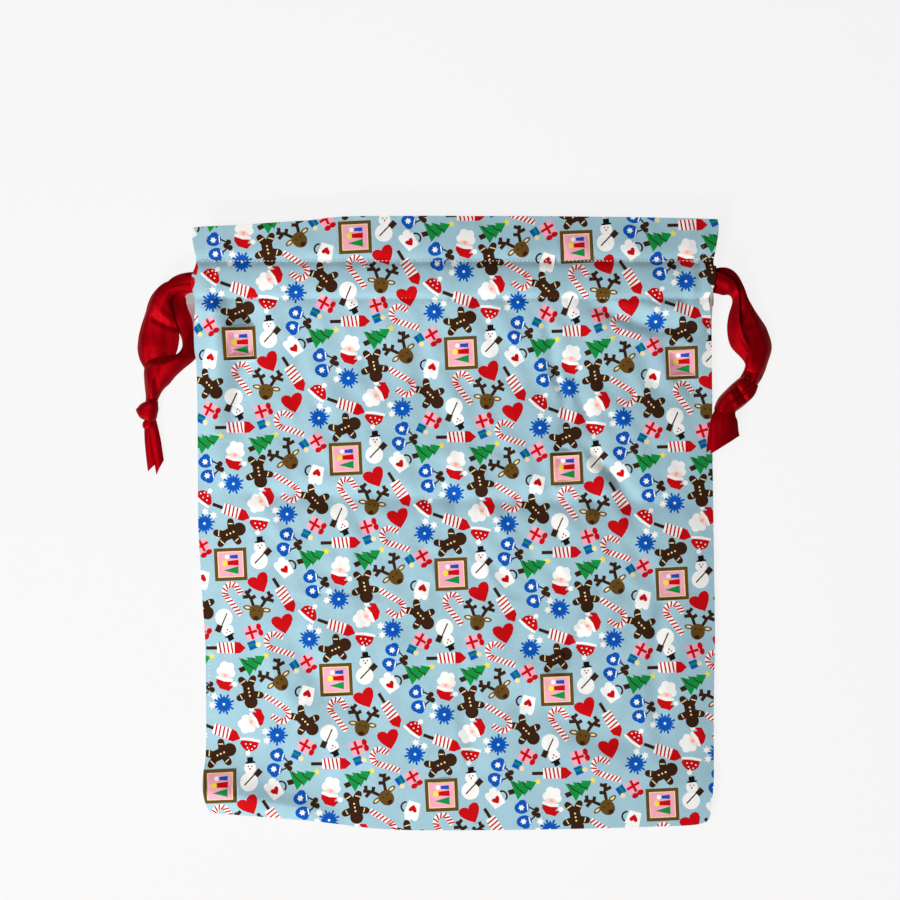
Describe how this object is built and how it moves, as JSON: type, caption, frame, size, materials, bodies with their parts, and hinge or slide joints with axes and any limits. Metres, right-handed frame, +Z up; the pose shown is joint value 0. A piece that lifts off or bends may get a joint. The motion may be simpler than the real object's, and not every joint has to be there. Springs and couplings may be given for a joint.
{
  "type": "drawstring gift pouch",
  "caption": "Flat printed cotton pouch with a frilled header, a casing below it, and a satin ribbon drawstring knotted at each side.",
  "frame": {"origin": "on the surface that the pouch lies on, under the middle of its outline, leaving out the loose ribbon ends", "axes": "+X across the pouch to its right, +Y along it to the mouth, +Z up from the back panel to the front panel"},
  "size_m": [0.4383, 0.42, 0.0138],
  "materials": {
    "printed_cotton": "plain-weave cotton, pale grey-blue with a small tossed festive print",
    "cotton_inside": "wrong side of the same cotton, with the print showing through faintly",
    "thread": "white polyester sewing thread, lockstitch",
    "ribbon_satin": "crimson double-faced satin ribbon, soft sheen along its length"
  },
  "bodies": {
    "pouch": {"back_casing_hem": "cotton_inside", "back_left_slit_hem": "cotton_inside", "back_left_slit_stitching": "thread", "back_lower_casing_stitching": "thread", "back_panel": "printed_cotton", "back_right_slit_hem": "cotton_inside", "back_right_slit_stitching": "thread", "back_upper_casing_stitching": "thread", "bottom_seam_allowance": "cotton_inside", "bottom_seam_stitching": "thread", "front_casing_hem": "cotton_inside", "front_left_slit_hem": "cotton_inside", "front_left_slit_stitching": "thread", "front_lower_casing_stitching": "thread", "front_panel": "printed_cotton", "front_right_slit_hem": "cotton_inside", "front_right_slit_stitching": "thread", "front_upper_casing_stitching": "thread", "left_seam_allowance": "cotton_inside", "left_seam_stitching": "thread", "right_seam_allowance": "cotton_inside", "right_seam_stitching": "thread"},
    "left_drawstring": {"left_ribbon_back_run": "ribbon_satin", "left_ribbon_back_strand": "ribbon_satin", "left_ribbon_back_tail": "ribbon_satin", "left_ribbon_front_run": "ribbon_satin", "left_ribbon_front_strand": "ribbon_satin", "left_ribbon_front_tail": "ribbon_satin", "left_ribbon_knot": "ribbon_satin", "left_ribbon_turn": "ribbon_satin"},
    "right_drawstring": {"right_ribbon_back_run": "ribbon_satin", "right_ribbon_back_strand": "ribbon_satin", "right_ribbon_back_tail": "ribbon_satin", "right_ribbon_front_run": "ribbon_satin", "right_ribbon_front_strand": "ribbon_satin", "right_ribbon_front_tail": "ribbon_satin", "right_ribbon_knot": "ribbon_satin", "right_ribbon_turn": "ribbon_satin"}
  },
  "joints": [
    {"name": "left_drawstring_pull", "type": "slide", "parent": "pouch", "child": "left_drawstring", "axis": [-1, 0, 0], "range_m": [0, 0.11], "deforming": ["front_casing_hem", "back_casing_hem"]},
    {"name": "right_drawstring_pull", "type": "slide", "parent": "pouch", "child": "right_drawstring", "axis": [1, 0, 0], "range_m": [0, 0.11], "deforming": ["front_casing_hem", "back_casing_hem"]}
  ]
}
